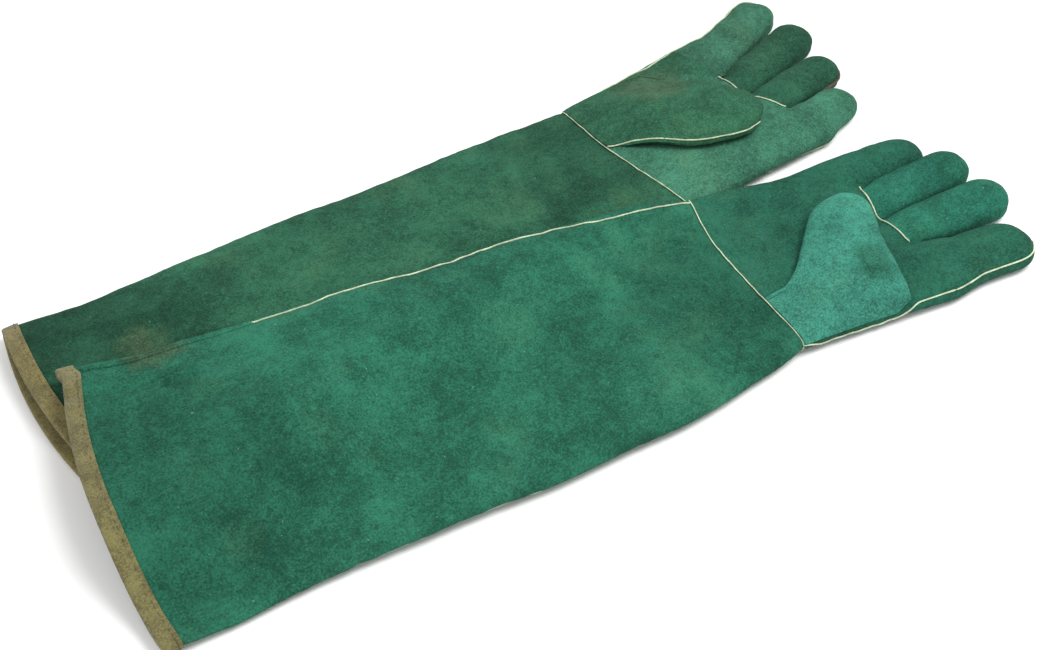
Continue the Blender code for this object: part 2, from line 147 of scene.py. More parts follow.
# Where each change of the hand's roll starts and how long it is, as shares of the hand's length
UNDER_THUMB_START = (0.0, 0.15)
UNDER_THUMB_END = (0.6, 0.16)
INDEX_ROLL_START = (0.25, 0.55)

# The mouth, right and left: the height of its seam and its rise above that, how far its edge stands out at
# both sides, how far its front and back bow beyond that, and how far its little finger corner is pulled out
MOUTH = {
    "seam": (0.005, 0.006),
    "rise": (0.006, 0.0095),
    "little": (0.0, 0.006),
    "thumb": (0.007, 0.006),
    "front_bow": (0.0115, 0.0125),
    "back_bow": (0.0095, 0.016),
    "corner": (0.005, 0.0),
}

# How far the mouth's heights and its bow reach into the cuff, and where its corner starts, as a share of the
# half width
MOUTH_HEIGHT_LENGTH = 0.16
MOUTH_BOW_LENGTH = 0.1
CORNER_START = 0.86

# Where a cuff's side leaves its plain taper: the bulge's middle, its reach to the mouth and to the wrist, its
# height, and how gently it dies out at the wrist
CUFF_BULGES = {
    ("right", "little"): (-0.29, 0.28, 0.29, -0.0152, 1.9),
    ("right", "thumb"): (-0.11, 0.2, 0.11, 0.012, 1.0),
    ("left", "thumb"): (-0.33, 0.07, 0.3, -0.0065, 1.0),
}

# Each finger: half width, length from its base line, bend from its base to its tip and turn off its joint's
# direction in degrees, and lift of its tip
FINGERS = {
    ("right", "index"): (0.02, 0.0742, -2.0, 1.0, 0.001),
    ("right", "middle"): (0.0172, 0.0908, 4.0, 2.5, 0.002),
    ("right", "ring"): (0.0165, 0.0855, -7.0, 0.0, 0.002),
    ("right", "little"): (0.0168, 0.066, -8.0, -3.0, 0.0),
    ("left", "index"): (0.0183, 0.1015, -17.0, 2.5, 0.001),
    ("left", "middle"): (0.0165, 0.0968, 0.0, 0.5, 0.002),
    ("left", "ring"): (0.016, 0.0748, 4.0, 0.0, 0.002),
    ("left", "little"): (0.016, 0.049, -8.0, -1.5, 0.0),
}

# The palm's far edge: its outer ends and the three crotches, from the index side to the little finger side
KNUCKLES = {
    "right": ((0.11, -0.0714), (0.111, -0.02075), (0.107, 0.00775), (0.115, 0.03925), (0.112, 0.0745)),
    "left": ((0.105, -0.076), (0.113, -0.02775), (0.11, 0.00025), (0.125, 0.02875), (0.128, 0.069)),
}

# Each thumb: where its free edge leaves the wrist seam, its crotch, the run of its two edges to its tip, how
# far its seam is rolled, and how far its free edge sinks into the palm at its base
THUMBS = {
    "right": {
        "wrist": (-0.0048, -0.029),
        "crotch": (0.076, -0.069),
        "free_edge": ((0.0185, -0.024), (0.044, 0.002), (0.061, 0.0185), (0.075, 0.024)),
        "far_edge": ((0.08, -0.05), (0.085, -0.026), (0.095, -0.003), (0.0975, 0.011)),
        "tip": (0.088, 0.0215),
        "roll": -0.004,
        "merge": 0.0,
    },
    "left": {
        "wrist": (-0.0096, -0.008),
        "crotch": (0.066, -0.062),
        "free_edge": ((0.013, 0.0125), (0.033, 0.0305), (0.056, 0.0405), (0.074, 0.044)),
        "far_edge": ((0.077, -0.04), (0.088, -0.01), (0.099, 0.015), (0.0975, 0.031)),
        "tip": (0.087, 0.0395),
        "roll": 0.003,
        "merge": 0.96,
    },
}

# Both thumbs: their far edge's roll, the heights of their edges, undersides and tops over the palm, the
# leather of their hidden inner layer, their least height at the seams, and the share of their length at
# which they fold
THUMB_FAR_ROLL = -0.003
THUMB_EDGE_Z = 0.0052
THUMB_UNDER_Z = 0.001
THUMB_THICKNESS = 0.015
THUMB_INNER_LEATHER = 0.0008
THUMB_LEAST = 0.0004
FOLD_SHARE = 0.34

# The stretch that bends at each joint: its start and its end along the way of the bend
WRIST_STRETCH = (-0.012, 0.014)
FINGER_STRETCH = (0.0, 0.022)
THUMB_STRETCH = (0.0, 0.026)

# Soft creases on the fronts: both ends in plan, width and depth
CREASES = {
    "right": (
        ((-0.405, 0.062), (-0.34, 0.048), 0.006, 0.0022),
        ((-0.35, -0.035), (-0.29, -0.06), 0.012, 0.0013),
        ((-0.25, 0.045), (-0.19, 0.02), 0.011, 0.0011),
        ((-0.13, -0.02), (-0.06, -0.05), 0.01, 0.0012),
        ((-0.09, 0.04), (-0.03, 0.03), 0.008, 0.001),
        ((0.06, -0.052), (0.073, -0.03), 0.006, 0.0014),
        ((0.03, 0.045), (0.075, 0.02), 0.007, 0.0009),
    ),
    "left": (
        ((-0.39, -0.06), (-0.33, -0.04), 0.008, 0.0015),
        ((-0.28, -0.05), (-0.21, -0.065), 0.01, 0.0011),
        ((-0.15, 0.01), (-0.08, -0.01), 0.01, 0.0012),
        ((0.085, -0.06), (0.135, -0.055), 0.005, 0.0012),
        ((0.04, 0.055), (0.09, 0.05), 0.007, 0.001),
        ((0.093, -0.008), (0.103, 0.014), 0.003, 0.0022),
        ((0.103, 0.014), (0.102, 0.033), 0.003, 0.0022),
    ),
}

# The stretch of the right cuff's seam with no welt: its share of the length, how many rows it runs on beside
# the welt, and its two leather edges
FLANGE_SHARE = 0.25
FLANGE_OVERLAP = 4
FLANGE_GAP = 0.0012
FLANGE_RADIUS = 0.0011

# How far a cuff sways from side to side along its length
CUFF_SWAY = 0.003
SWAY_WAVELENGTH = 0.07
SWAY_FADE = 0.06
SWAY_SEEDS = {"left": 4.2, "right": 9.6}

# Relief of each kind of panel: the height of its broad waves, the depth of its seams' grooves, and the seams
PANEL_KINDS = {
    "cuff": (0.0015, 0.0006, ("little", "thumb", "end")),
    "hand": (0.0008, 0.0006, ("little", "thumb", "start")),
    "finger": (0.0007, 0.0004, ("little", "thumb")),
    "thumb": (0.0009, 0.0003, ("little", "thumb")),
}

# The finer waves of the leather: wavelength, height and noise seed
RIPPLES = {"swell": (0.021, 0.00038, 7.7), "pucker": (0.0085, 0.00036, 1.3), "pebble": (0.0042, 0.0001, 5.9)}

# How far from a seam the swell is whole, how far the seam's puckers reach, and how wide its groove is
SWELL_CLEARANCE = 0.006
PUCKER_REACH = 0.011
GROOVE_REACH = 0.0028

# Dye of each part, in linear colour
DYES = {
    "right_cuff": (0.0205, 0.1221, 0.0749),
    "right_hand": (0.0155, 0.09, 0.0569),
    "right_thumb": (0.039, 0.1953, 0.1399),
    "right_index": (0.0155, 0.09, 0.0569),
    "right_middle": (0.019, 0.1266, 0.0821),
    "right_ring": (0.019, 0.1266, 0.0821),
    "right_little": (0.0155, 0.09, 0.0569),
    "left_cuff": (0.024, 0.1026, 0.0582),
    "left_hand": (0.0424, 0.1534, 0.096),
    "left_thumb": (0.0281, 0.1102, 0.0608),
    "left_index": (0.0416, 0.1408, 0.088),
    "left_middle": (0.0211, 0.0848, 0.049),
    "left_ring": (0.0211, 0.0848, 0.049),
    "left_little": (0.0424, 0.1534, 0.096),
}
BROWN_STAIN = (0.075, 0.082, 0.043)
TAN_STAIN = (0.08, 0.122, 0.06)
LEFT_BINDING = (0.18, 0.152, 0.056)
RIGHT_BINDING = (0.168, 0.152, 0.062)
CREAM = (0.66, 0.76, 0.52)
LINING_BROWN = (0.11, 0.088, 0.058)
STITCH_OLIVE = (0.13, 0.13, 0.07)
PALE_SPECK = (0.2, 0.29, 0.2)
SUEDE_SHEEN = 0.03
SHEEN_TINT = (0.55, 0.9, 0.75, 1.0)

# Floor, light and camera
FLOOR_HALF_SIZE = 30.0
FLOOR_DROP = 0.0005
FLOOR_WHITE = (0.93, 0.93, 0.93, 1.0)
WORLD_STRENGTH = 0.75
KEY_PLACE = (0.7, -0.6, 1.85)
KEY_SIZE = 1.1
KEY_POWER = 30.6
FILL_PLACE = (-1.4, -0.6, 1.6)
FILL_SIZE = 1.6
FILL_POWER = 9.0
CAMERA_PLACE = (-0.4235, -0.6426, 0.6686)
CAMERA_TARGET = (-0.039, -0.0379, 0.0)
LENS = 55.5
SENSOR_WIDTH = 36.0


# ---- small maths


def smoothstep(t):
    t = np.clip(t, 0.0, 1.0)
    return t * t * (3.0 - 2.0 * t)


def rise_from(place, start, length):
    """0 before a start and 1 a length after it."""
    return smoothstep((place - start) / length)


def arch(across, squareness):
    """Height share of a squared oval: 1 at its middle and 0 at its seams."""
    return np.maximum(1.0 - np.minimum(np.abs(across), 1.0) ** squareness, 0.0) ** (1.0 / squareness)


def places(squareness):
    """Places from 1 to -1 across an arch, close together where it is steep."""
    angle = np.linspace(0.0, math.pi, DENSE)
    return np.sign(np.cos(angle)) * np.abs(np.cos(angle)) ** (2.0 / squareness)


def unit(vectors):
    return vectors / np.maximum(np.linalg.norm(vectors, axis=-1, keepdims=True), 1e-12)


def facts(table, side):
    """One side's column of a table of right and left values."""
    return {name: pair[SIDES.index(side)] for name, pair in table.items()}


def lumps(points, wavelength, seed):
    """Smooth noise of about -1 to 1 at each point."""
    flat = points.reshape(-1, 3) / wavelength + seed
    values = np.array([noise.noise(p) for p in flat.tolist()])
    return (values * 1.7).reshape(points.shape[:-1])


def ripples(points, kind):
    wavelength, height, seed = RIPPLES[kind]
    return height * lumps(points, wavelength, seed)


def run_along(points):
    """Distance of each point of a line from its first one."""
    return np.concatenate([[0.0], np.cumsum(np.linalg.norm(np.diff(points, axis=0), axis=1))])


def points_at(wanted, run, points):
    """Points of a line at wanted places of its run."""
    return np.stack([np.interp(wanted, run, column) for column in points.T], axis=-1)


def even_line(points, count):
    """Evenly spaced points along a line."""
    run = run_along(points)
    return points_at(np.linspace(0.0, run[-1], count), run, points)


def smooth_line(points, count):
    """Evenly spaced points on a smooth curve through the given ones."""
    points = np.array(points, float)
    ends = np.vstack([2 * points[0] - points[1], points, 2 * points[-1] - points[-2]])
    curve = []
    for a, b, c, d in zip(ends, ends[1:], ends[2:], ends[3:]):
        t = np.linspace(0.0, 1.0, 40)[:, None]
        doubled = 2 * b + (c - a) * t + (2 * a - 5 * b + 4 * c - d) * t**2
        doubled += (3 * b - a - 3 * c + d) * t**3
        curve.append(0.5 * doubled)
    return even_line(np.vstack(curve), count)


def split_section(top, bottom, roll_first, roll_last, count):
    """The front and the back of a closed section, each of count points.

    top runs from the little finger side to the thumb side and bottom runs back.  Each roll is how far that
    side's seam lies inside the top's end.
    """
    loop = np.vstack([top, bottom[1:-1]])
    size = len(loop)
    lap = np.vstack([loop, loop, loop, loop[:1]])
    run = run_along(lap)
    first = run[size] + roll_first
    last = run[size + len(top) - 1] - roll_last
    again = run[2 * size] + roll_first
    front = points_at(np.linspace(first, last, count), run, lap)
    back = points_at(np.linspace(last, again, count), run, lap)
    return front, back[::-1]


# ---- a glove's frame


class Glove:
    """One glove's own frame and the facts that its parts share."""

    def __init__(self, side):
        wrist = JOINTS[f"{side}_wrist_bend"]
        self.side = side
        self.along = unit(np.cross(UP, np.array(wrist["axis"], float)))
        self.across = unit(np.cross(UP, self.along)) * (1.0 if side == "right" else -1.0)
        self.origin = np.array(wrist["pos_m"], float) - self.along * 0.5 * JOINT_GAP
        self.origin[2] = 0.0
        self.knuckles = np.array(KNUCKLES[side])
        self.roll = facts(SEAM_ROLL, side)

    def place(self, local):
        """World points of points in the glove's own frame."""
        local = np.asarray(local, float)
        world = self.origin + local[..., :1] * self.along + local[..., 1:2] * self.across
        mouth = 1.0 - rise_from(local[..., 0], -CUFF_LENGTH, MOUTH_LIFT_LENGTH)
        world[..., 2] = local[..., 2] + mouth * MOUTH_LIFT
        if self.side == "right":
            world[..., 2] += drape(world)
        return world

    def finger_base(self, name):
        """(middle of a finger's base line, half its length, its unit vector, the finger's direction)"""
        k = FINGER_ORDER.index(name)
        a, b = self.knuckles[k], self.knuckles[k + 1]
        axis = np.array(JOINTS[f"{self.side}_{name}_finger_curl"]["axis"], float)
        world = np.cross(UP, axis)
        direction = unit(np.array([world @ self.along, world @ self.across]))
        return 0.5 * (a + b), 0.5 * float(np.linalg.norm(b - a)), unit(b - a), direction


def cuff_half_width(x):
    share = np.clip(-x / CUFF_LENGTH, 0.0, 1.0)
    return WRIST_HALF_WIDTH + (MOUTH_HALF_WIDTH - WRIST_HALF_WIDTH) * (1.0 - (1.0 - share) ** CUFF_TAPER)


GLOVES = {"left": Glove("left")}


def drape(world):
    """How far the left glove lifts the right one at each world point."""
    left = GLOVES["left"]
    offset = world - left.origin
    x, y = offset @ left.along, -(offset @ left.across)
    share = smoothstep((cuff_half_width(x) + y + DRAPE_OUTSIDE) / (DRAPE_OUTSIDE + DRAPE_INSIDE))
    return DRAPE_HEIGHT * share * (1.0 - smoothstep(x / DRAPE_HAND_FADE))


GLOVES["right"] = Glove("right")


# ---- the glove's outer shape, in its own frame


def bottom_height(across, seam):
    return FLOOR_Z + (seam - FLOOR_Z) * (1.0 - arch(across, BOTTOM_SQUARENESS))


def wrist_bow(side, across):
    return WRIST_BOW[side] * np.maximum(1.0 - across * across, 0.0) ** 0.8


def cuff_bulge(side, name, x):
    """How far a side of a cuff stands out beyond its plain taper at x."""
    middle, to_mouth, to_wrist, height, gentleness = CUFF_BULGES.get((side, name), (0.0, 1.0, 1.0, 0.0, 1.0))
    if x < middle:
        return height * (1.0 - min((middle - x) / to_mouth, 1.0) ** 2) ** 2
    return height * (1.0 - min((x - middle) / to_wrist, 1.0) ** 2) ** gentleness


def cuff_section(side, x):
    """Top and bottom lines of the cuff at x."""
    mouth = facts(MOUTH, side)
    near_mouth = 1.0 - rise_from(x, -CUFF_LENGTH, MOUTH_HEIGHT_LENGTH)
    seam = SEAM_Z + (mouth["seam"] - SEAM_Z) * near_mouth
    rise = CUFF_RISE + (mouth["rise"] - CUFF_RISE) * near_mouth
    half = cuff_half_width(x)
    top, bottom = places(TOP_SQUARENESS), places(BOTTOM_SQUARENESS)[::-1]
    near_edge = 1.0 - rise_from(x, -CUFF_LENGTH, MOUTH_BOW_LENGTH)
    near_wrist = rise_from(x, -WRIST_BOW_LENGTH, WRIST_BOW_LENGTH)
    bows = []
    for across, bow in ((top, mouth["front_bow"]), (bottom, mouth["back_bow"])):
        corner = mouth["corner"] * rise_from(across, CORNER_START, 1.0 - CORNER_START)
        sides = mouth["thumb"] + (mouth["little"] - mouth["thumb"]) * 0.5 * (across + 1.0)
        at_mouth = near_edge * (sides + bow * np.maximum(1.0 - across * across, 0.0) + corner)
        bows.append(at_mouth + wrist_bow(side, across) * near_wrist)
    little, thumb = cuff_bulge(side, "little", x), cuff_bulge(side, "thumb", x)
    half += 0.5 * (little + thumb)
    middle = 0.5 * (little - thumb)
    sway = CUFF_SWAY * noise.noise((x / SWAY_WAVELENGTH, 0.3, SWAY_SEEDS[side]))
    middle += sway * smoothstep(-x / SWAY_FADE)
    top_line = np.stack([x - bows[0], half * top + middle, seam + rise * arch(top, TOP_SQUARENESS)], axis=1)
    bottom_line = np.stack([x - bows[1], half * bottom + middle, bottom_height(bottom, seam)], axis=1)
    return top_line, bottom_line


def knuckle_at(glove, across):
    """Points of the palm's far edge at shares of its width, 1 at the little finger side."""
    points = glove.knuckles
    y = points[0, 1] + (points[-1, 1] - points[0, 1]) * 0.5 * (across + 1.0)
    return np.stack([np.interp(y, points[:, 1], points[:, 0]), y], axis=-1)


def knuckle_heights(glove, across, squareness):
    """Height share at the palm's far edge: an arch over each finger, and the crotches between them."""
    points = glove.knuckles
    y = knuckle_at(glove, across)[..., 1]
    k = np.clip(np.searchsorted(points[:, 1], y), 1, len(points) - 1)
    low, high = points[k - 1, 1], points[k, 1]
    over_finger = arch((2.0 * y - low - high) / (high - low), squareness)
    if squareness == FINGER_SQUARENESS:
        over_finger = over_finger * (1.0 - KNUCKLE_DIP * ((k == 2) | (k == 3)))
    return np.maximum(over_finger, CROTCH_SHARE * (1.0 - np.abs(across) ** 10))


def hand_section(glove, along):
    """Top and bottom lines of the hand, along from 0 at the wrist seam to 1 at the knuckles."""
    shaped = rise_from(along, SCALLOP_START, 1.0 - SCALLOP_START)
    lines = []
    for squareness, is_top in ((TOP_SQUARENESS, True), (BOTTOM_SQUARENESS, False)):
        across = places(squareness)
        wrist = np.stack([np.zeros(DENSE), WRIST_HALF_WIDTH * across], axis=1)
        plan = wrist + (knuckle_at(glove, across) - wrist) * along
        plan[:, 0] -= wrist_bow(glove.side, across) * (1.0 - smoothstep(along / 0.5))
        if is_top:
            palm = HAND_RISE * arch(across, squareness)
            fingers = FINGER_RISE * knuckle_heights(glove, across, FINGER_SQUARENESS)
            z = SEAM_Z + palm + (fingers - palm) * shaped
        else:
            palm = arch(across, squareness)
            fingers = knuckle_heights(glove, across, squareness)
            z = FLOOR_Z + (SEAM_Z - FLOOR_Z) * (1.0 - palm - (fingers - palm) * shaped)
        lines.append(np.column_stack([plan, z]))
    return lines[0], lines[1][::-1]


def palm_height(glove, plan):
    """Height of the palm at plan points of the glove's own frame, without the arches over its fingers."""
    points = glove.knuckles
    bottom = np.interp(plan[..., 0], (0.0, points[0, 0]), (-WRIST_HALF_WIDTH, points[0, 1]))
    top = np.interp(plan[..., 0], (0.0, points[-1, 0]), (WRIST_HALF_WIDTH, points[-1, 1]))
    across = (2.0 * plan[..., 1] - bottom - top) / (top - bottom)
    return SEAM_Z + HAND_RISE * arch(across, TOP_SQUARENESS)


def tip_start(half, length):
    """Share of a finger's length at which its tip begins to round off."""
    return 1.0 - 1.15 * half / length


def finger_section(glove, name, along):
    """Top and bottom lines of a finger, along from 0 at its base line to 1 at its tip."""
    half, length, bend, turn, lift = FINGERS[glove.side, name]
    middle, base_half, base_line, direction = glove.finger_base(name)
    start = math.degrees(math.atan2(direction[1], direction[0])) + turn - 0.5 * bend
    turned = np.radians(start + bend * np.linspace(0.0, along, 40))
    path = np.stack([np.cos(turned), np.sin(turned)], axis=1)
    centre = middle + path.mean(axis=0) * length * along
    heading = path[-1]
    straight = tip_start(half, length)
    t = np.clip((along - straight) / (1.0 - straight), 0.0, 1.0)
    rounded = (1.0 - t**2.3) ** (1.0 / 2.3)
    settled = smoothstep(along / 0.42)
    width = (base_half + (half - base_half) * settled) * rounded
    side_way = unit(base_line + (np.array([-heading[1], heading[0]]) - base_line) * settled)
    seam = SEAM_Z + lift * rise_from(along, 0.3, 0.7)
    crotch = 1.0 - smoothstep(along / 0.18)
    lines = []
    for squareness, is_top in ((FINGER_SQUARENESS, True), (BOTTOM_SQUARENESS, False)):
        across = places(squareness)
        plan = centre + side_way * width * across[:, None]
        share = np.maximum(arch(across, squareness), CROTCH_SHARE * crotch_side(name, across) * crotch)
        if is_top and name in ("middle", "ring"):
            share = share * (1.0 - KNUCKLE_DIP * (1.0 - smoothstep(along / 0.26)))
        if is_top:
            z = seam + FINGER_RISE * share * rounded * finger_creases(along, across)
        else:
            z = seam - (seam - FLOOR_Z) * share * rounded**0.7
        lines.append(np.column_stack([plan, z]))
    return lines[0], lines[1][::-1]


def finger_creases(along, across):
    """Share of a finger's height left by the shallow creases at its two joints."""
    first = np.exp(-(((along - 0.34 - 0.05 * across) / 0.045) ** 2))
    second = np.exp(-(((along - 0.64 + 0.04 * across) / 0.04) ** 2))
    return 1.0 - 0.085 * first - 0.06 * second


def crotch_side(name, across):
    """1 at the sides of a finger that meet another one, 0 at the hand's outer sides."""
    outer = {"index": across < -0.9, "little": across > 0.9}.get(name, False)
    return np.where(outer, 0.0, 1.0)


# ---- relief of the leather


def grid_normals(grid):
    """Unit normals of a grid of points, by central differences.  A pole takes its neighbours' mean."""
    normals = np.cross(np.gradient(grid, axis=0), np.gradient(grid, axis=1))
    if np.ptp(grid[-1], axis=0).max() < 1e-7:
        normals[-1] = unit(normals[-2]).mean(axis=0)
    return unit(normals)


def seam_distance(grid, seams):
    """Distance of each point of a grid to the nearest of its seams."""
    across = np.linalg.norm(np.diff(grid, axis=1), axis=2)
    along = np.linalg.norm(np.diff(grid, axis=0), axis=2)
    from_left = np.hstack([np.zeros((len(grid), 1)), np.cumsum(across, axis=1)])
    from_start = np.vstack([np.zeros((1, grid.shape[1])), np.cumsum(along, axis=0)])
    distances = {
        "little": from_left,
        "thumb": from_left[:, -1:] - from_left,
        "start": from_start,
        "end": from_start[-1:] - from_start,
    }
    return np.minimum.reduce([distances[seam] for seam in seams])


def dents(glove, grid):
    """Depth of the soft creases where the leather has been folded and handled."""
    offset = grid - glove.origin
    plan = np.stack([offset @ glove.along, offset @ glove.across], axis=-1)
    depth = np.zeros(grid.shape[:2])
    for start, end, width, most in CREASES[glove.side]:
        start, run = np.array(start), np.array(end) - np.array(start)
        t = np.clip(((plan - start) @ run) / (run @ run), 0.0, 1.0)
        away = np.linalg.norm(plan - start - t[..., None] * run, axis=-1)
        depth += most * (np.exp(-((away / width) ** 2)) - 0.45 * np.exp(-((away / (2.2 * width)) ** 2)))
    return depth


class Skin:
    """A panel's outer face: a grid of world points with waves, puckers at its seams and grain."""

    def __init__(self, glove, grid, is_back, kind):
        broad, groove, seams = PANEL_KINDS[kind]
        normals = grid_normals(grid)
        sign = 1.0 if (normals[..., 2].mean() < 0.0) == is_back else -1.0
        normals *= sign
        distance = seam_distance(grid, seams)
        flat = grid * (1.0, 1.0, 0.0)
        wave = broad * (lumps(flat, 0.08, 3.1) + 0.35 * lumps(flat * (1.0, 1.6, 1.0), 0.036, 8.3))
        grid = grid + UP * (wave * smoothstep((grid[..., 2] - FLOOR_Z) / 0.012))[..., None]
        height = ripples(grid, "swell") * smoothstep(distance / SWELL_CLEARANCE)
        height += ripples(grid, "pucker") * np.exp(-distance / PUCKER_REACH)
        height += ripples(grid, "pebble")
        height -= groove * np.exp(-((distance / GROOVE_REACH) ** 2))
        if not is_back:
            height -= dents(glove, grid)
        height *= smoothstep((grid[..., 2] - FLOOR_Z) / 0.004)
        self.grid = grid + normals * height[..., None]
        self.grid[..., 2] = np.maximum(self.grid[..., 2], FLOOR_Z)
        self.normals = grid_normals(self.grid) * sign


# ---- meshes


def new_mesh(name, points, faces, smooth_angle=50.0):
    """A closed mesh: points in one place are joined, and its faces point outwards."""
    made = bmesh.new()
    corners = [made.verts.new(p) for p in np.asarray(points).tolist()]
    for face in faces:
        made.faces.new([corners[k] for k in face])
    bmesh.ops.remove_doubles(made, verts=made.verts, dist=1e-6)
    bmesh.ops.recalc_face_normals(made, faces=made.faces)
    mesh = bpy.data.meshes.new(name)
    made.to_mesh(mesh)
    made.free()
    mesh.shade_smooth()
    mesh.set_sharp_from_angle(angle=math.radians(smooth_angle))
    obj = bpy.data.objects.new(name, mesh)
    bpy.context.scene.collection.objects.link(obj)
    return obj


def grid_faces(rows, columns, first=0, ring=False, loop=False):
    """Faces of a grid of points.  ring joins the ends of each row, and loop the last row to the first."""
    faces = []
    for i in range(rows if loop else rows - 1):
        for j in range(columns if ring else columns - 1):
            a, b = first + i * columns, first + (i + 1) % rows * columns
            k = (j + 1) % columns
            faces.append((a + j, a + k, b + k, b + j))
    return faces


def leather_shell(name, skin, thickness):
    """A shell with the skin as its outer face and its thickness inside the glove."""
    rows, columns = skin.grid.shape[:2]
    inner = skin.grid - skin.normals * thickness
    shift = rows * columns
    faces = grid_faces(rows, columns) + grid_faces(rows, columns, shift)
    order = np.arange(shift).reshape(rows, columns)
    border = [*order[0], *order[1:, -1], *order[-1, -2::-1], *order[-2:0:-1, 0]]
    faces += [(a, b, b + shift, a + shift) for a, b in zip(border, border[1:] + border[:1])]
    return new_mesh(name, np.vstack([skin.grid.reshape(-1, 3), inner.reshape(-1, 3)]), faces)


def tube(name, points, radius=WELT_RADIUS, loop=False, sides=8):
    """A round welt along points, ribbed and a little uneven along its run."""
    line = np.vstack([points, points[:1]]) if loop else points
    line = even_line(line, int(run_along(line)[-1] / WELT_STEP))
    line = line[:-1] if loop else line
    ahead = np.roll(line, -1, axis=0) - np.roll(line, 1, axis=0) if loop else np.gradient(line, axis=0)
    ahead = unit(ahead)
    side_way = unit(np.cross(ahead, UP))
    up = np.cross(side_way, ahead)
    swell = radius * (1.0 + 0.1 * np.sin(np.arange(len(line)) * 2.4) + 0.14 * lumps(line, 0.006, 2.2))
    if not loop:
        swell[[0, -1]] *= 0.35
    angle = np.linspace(0.0, 2.0 * math.pi, sides, endpoint=False)
    ring = np.cos(angle)[None, :, None] * side_way[:, None] + np.sin(angle)[None, :, None] * up[:, None]
    grid = line[:, None] + ring * swell[:, None, None]
    faces = grid_faces(len(line), sides, ring=True, loop=loop)
    if not loop:
        last = (len(line) - 1) * sides
        faces += [tuple(range(sides)), tuple(range(last, last + sides))]
    return new_mesh(name, grid.reshape(-1, 3), faces, 80.0)


def stitches(name, line, normals, sides=6):
    """A row of short stitches lying on a surface along a line."""
    spaced = even_line(np.hstack([line, normals]), int(run_along(line)[-1] / STITCH_PITCH))
    middles, outs = spaced[:, :3], unit(spaced[:, 3:])
    ahead = unit(np.gradient(middles, axis=0))
    angle = np.linspace(0.0, 2.0 * math.pi, sides, endpoint=False)
    rings = ((-0.5, 0.35), (-0.25, 1.0), (0.25, 1.0), (0.5, 0.35))
    points, faces = [], []
    for middle, out, way in zip(middles, outs, ahead):
        side_way = np.cross(way, out)
        first = len(points)
        for t, size in rings:
            centre = middle + way * t * STITCH_LENGTH
            for a in angle:
                points.append(centre + (side_way * math.cos(a) + out * math.sin(a)) * STITCH_RADIUS * size)
        faces += grid_faces(len(rings), sides, first, ring=True)
        faces += [tuple(range(k, k + sides)) for k in (first, len(points) - sides)]
    return new_mesh(name, points, faces, 80.0)


# ---- materials


class Nodes:
    """A material's nodes, with short ways to add the ones that are used here."""

    def __init__(self, name, roughness, sheen):
        self.material = bpy.data.materials.new(name)
        self.material.use_nodes = True
        self.tree = self.material.node_tree
        self.shader = self.tree.nodes["Principled BSDF"]
        self.put(self.shader, "Roughness", roughness)
        self.put(self.shader, "Specular IOR Level", 0.1)
        self.put(self.shader, "Sheen Weight", sheen)
        self.put(self.shader, "Sheen Roughness", 0.5)
        self.place = self.add("ShaderNodeTexCoord").outputs["Object"]

    def add(self, kind, **inputs):
        node = self.tree.nodes.new(kind)
        for key, value in inputs.items():
            self.put(node, key, value)
        return node

    def put(self, node, key, value):
        """Sets or links an input, by its name or as _ and its number."""
        socket = node.inputs[int(key[1:])] if key[0] == "_" else node.inputs[key]
        if isinstance(value, bpy.types.NodeSocket):
            self.tree.links.new(value, socket)
        else:
            socket.default_value = value

    def math(self, operation, a, b):
        node = self.add("ShaderNodeMath", _0=a, _1=b)
        node.operation = operation
        return node.outputs[0]

    def noise(self, wavelength, detail=3.0, roughness=0.6):
        node = self.add("ShaderNodeTexNoise", Scale=1.0 / wavelength, Detail=detail, Roughness=roughness)
        self.put(node, "Vector", self.place)
        return node.outputs["Fac"]

    def ramp(self, value, low, high):
        """0 where value is below low and 1 above high, smooth between them."""
        node = self.add("ShaderNodeMapRange", Value=value)
        node.interpolation_type = "SMOOTHSTEP"
        self.put(node, "From Min", low)
        self.put(node, "From Max", high)
        return node.outputs["Result"]

    def mix(self, share, a, b):
        node = self.add("ShaderNodeMix")
        node.data_type = "RGBA"
        for key, value in (("_0", share), ("_6", a), ("_7", b)):
            self.put(node, key, (*value, 1.0) if isinstance(value, tuple) else value)
        return node.outputs[2]

    def scaled(self, colour, factor):
        node = self.add("ShaderNodeVectorMath", _0=colour)
        node.operation = "SCALE"
        self.tree.links.new(factor, node.inputs["Scale"])
        return node.outputs["Vector"]

    def bump(self, height, distance, strength):
        node = self.add("ShaderNodeBump", Height=height, Distance=distance, Strength=strength)
        self.put(self.shader, "Normal", node.outputs["Normal"])

    def near(self, centre, radius):
        """1 near a world point, fading out raggedly at a radius."""
        distance = self.add("ShaderNodeVectorMath", _0=self.place, _1=tuple(centre))
        distance.operation = "DISTANCE"
        ragged = self.math("MULTIPLY", self.math("SUBTRACT", self.noise(0.012), 0.5), 0.9 * radius)
        edge = self.math("ADD", distance.outputs["Value"], ragged)
        return self.math("SUBTRACT", 1.0, self.ramp(edge, 0.45 * radius, radius))


def shade(colour, factor):
    return tuple(min(c * factor, 1.0) for c in colour)


